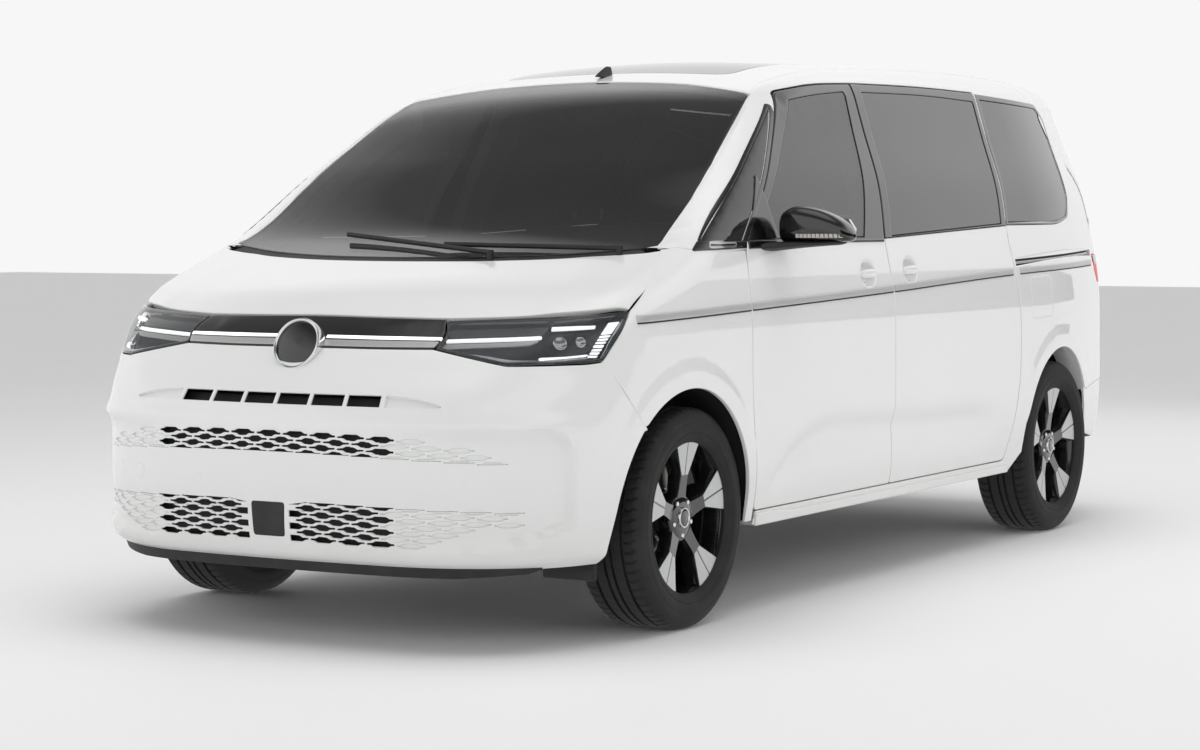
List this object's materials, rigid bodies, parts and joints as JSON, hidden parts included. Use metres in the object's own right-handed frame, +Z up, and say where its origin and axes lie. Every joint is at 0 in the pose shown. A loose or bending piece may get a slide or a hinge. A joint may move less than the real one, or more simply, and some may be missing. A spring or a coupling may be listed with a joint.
{
  "type": "passenger van",
  "caption": "Full-size family van with hinged front doors, bonnet and tailgate, sliding side doors, glazed cabin with seats, and steered, rolling wheels.",
  "frame": {"origin": "on the ground, midway along the overall length and width", "axes": "+X forward, +Y to the van's left, +Z up"},
  "size_m": [4.9745, 2.4006, 1.888],
  "materials": {
    "paint": "gloss",
    "dark_glass": "gloss",
    "clear_glass": "gloss",
    "black_plastic": "gloss",
    "lamp_clear": "gloss",
    "lamp_red": "gloss",
    "chrome": "polished",
    "aluminium": "satin",
    "chassis_steel": "matte",
    "trim_plastic": "matte",
    "seat_fabric": "matte",
    "tyre": "matte",
    "rim": "satin"
  },
  "bodies": {
    "chassis": {"body_side_left": "paint", "body_side_right": "paint", "sliding_doors": "paint", "sliding_door_glass": "dark_glass", "fixed_side_glass": "dark_glass", "tail_lamps": "lamp_red", "front_wings": "paint", "windscreen": "clear_glass", "roof_panel": "paint", "roof_glass": "dark_glass", "front_bumper": "paint", "front_grille": "black_plastic", "headlamps": "lamp_clear", "light_bar": "black_plastic", "badge": "chrome", "cowl": "black_plastic", "wipers": "black_plastic", "rear_bumper": "paint", "sill_trims": "paint", "slide_rails": "aluminium", "underbody": "chassis_steel", "radiator": "aluminium", "engine": "chassis_steel", "front_subframe": "chassis_steel", "struts": "chassis_steel", "rear_axle": "chassis_steel", "dashboard": "trim_plastic", "front_seats": "seat_fabric", "rear_seats": "seat_fabric", "antenna": "black_plastic"},
    "door_left": {"front_door_left": "paint", "front_door_glass_left": "clear_glass", "mirror_left": "black_plastic"},
    "door_right": {"front_door_right": "paint", "front_door_glass_right": "clear_glass", "mirror_right": "black_plastic"},
    "hood": {"bonnet": "paint"},
    "rear_gate": {"tailgate": "paint", "tailgate_glass": "dark_glass", "tailgate_lamps": "lamp_red"},
    "steer_left": {"knuckle_left": "chassis_steel"},
    "steer_right": {"knuckle_right": "chassis_steel"},
    "wheel_front_left": {"tyre_front_left": "tyre", "rim_front_left": "rim"},
    "wheel_front_right": {"tyre_front_right": "tyre", "rim_front_right": "rim"},
    "wheel_rear_left": {"tyre_rear_left": "tyre", "rim_rear_left": "rim"},
    "wheel_rear_right": {"tyre_rear_right": "tyre", "rim_rear_right": "rim"},
    "driver_wheel": {"steering_wheel": "trim_plastic"}
  },
  "joints": [
    {"name": "door_left_hinge", "type": "hinge", "parent": "chassis", "child": "door_left", "pos_m": [1.1045, 0.938, 0.8], "axis": [0, 0, -1], "range_deg": [0, 65]},
    {"name": "door_right_hinge", "type": "hinge", "parent": "chassis", "child": "door_right", "pos_m": [1.1045, -0.938, 0.8], "axis": [0, 0, 1], "range_deg": [0, 65]},
    {"name": "hood_hinge", "type": "hinge", "parent": "chassis", "child": "hood", "pos_m": [1.5845, 0, 1.188], "axis": [0, -1, 0], "range_deg": [0, 50]},
    {"name": "rear_gate_hinge", "type": "hinge", "parent": "chassis", "child": "rear_gate", "pos_m": [-2.2295, 0, 1.8462], "axis": [0, 1, 0], "range_deg": [0, 80]},
    {"name": "steer_left_turn", "type": "hinge", "parent": "chassis", "child": "steer_left", "pos_m": [1.5565, 0.768, 0.347], "axis": [0, 0, 1], "range_deg": [-35, 35]},
    {"name": "steer_right_turn", "type": "hinge", "parent": "chassis", "child": "steer_right", "pos_m": [1.5565, -0.768, 0.347], "axis": [0, 0, 1], "range_deg": [-35, 35]},
    {"name": "wheel_front_left_spin", "type": "hinge", "parent": "steer_left", "child": "wheel_front_left", "pos_m": [1.5565, 0.828, 0.347], "axis": [0, 1, 0], "continuous": true},
    {"name": "wheel_front_right_spin", "type": "hinge", "parent": "steer_right", "child": "wheel_front_right", "pos_m": [1.5565, -0.828, 0.347], "axis": [0, 1, 0], "continuous": true},
    {"name": "wheel_rear_left_spin", "type": "hinge", "parent": "chassis", "child": "wheel_rear_left", "pos_m": [-1.5675, 0.828, 0.347], "axis": [0, 1, 0], "continuous": true},
    {"name": "wheel_rear_right_spin", "type": "hinge", "parent": "chassis", "child": "wheel_rear_right", "pos_m": [-1.5675, -0.828, 0.347], "axis": [0, 1, 0], "continuous": true},
    {"name": "driver_wheel_turn", "type": "hinge", "parent": "chassis", "child": "driver_wheel", "pos_m": [0.9165, 0.4, 1.01], "axis": [-0.9285, 0, 0.3714], "range_deg": [-530, 530]}
  ],
  "couplings": [
    {"joint": "steer_right_turn", "follows": "steer_left_turn", "ratio": 1},
    {"joint": "driver_wheel_turn", "follows": "steer_left_turn", "ratio": 15}
  ]
}
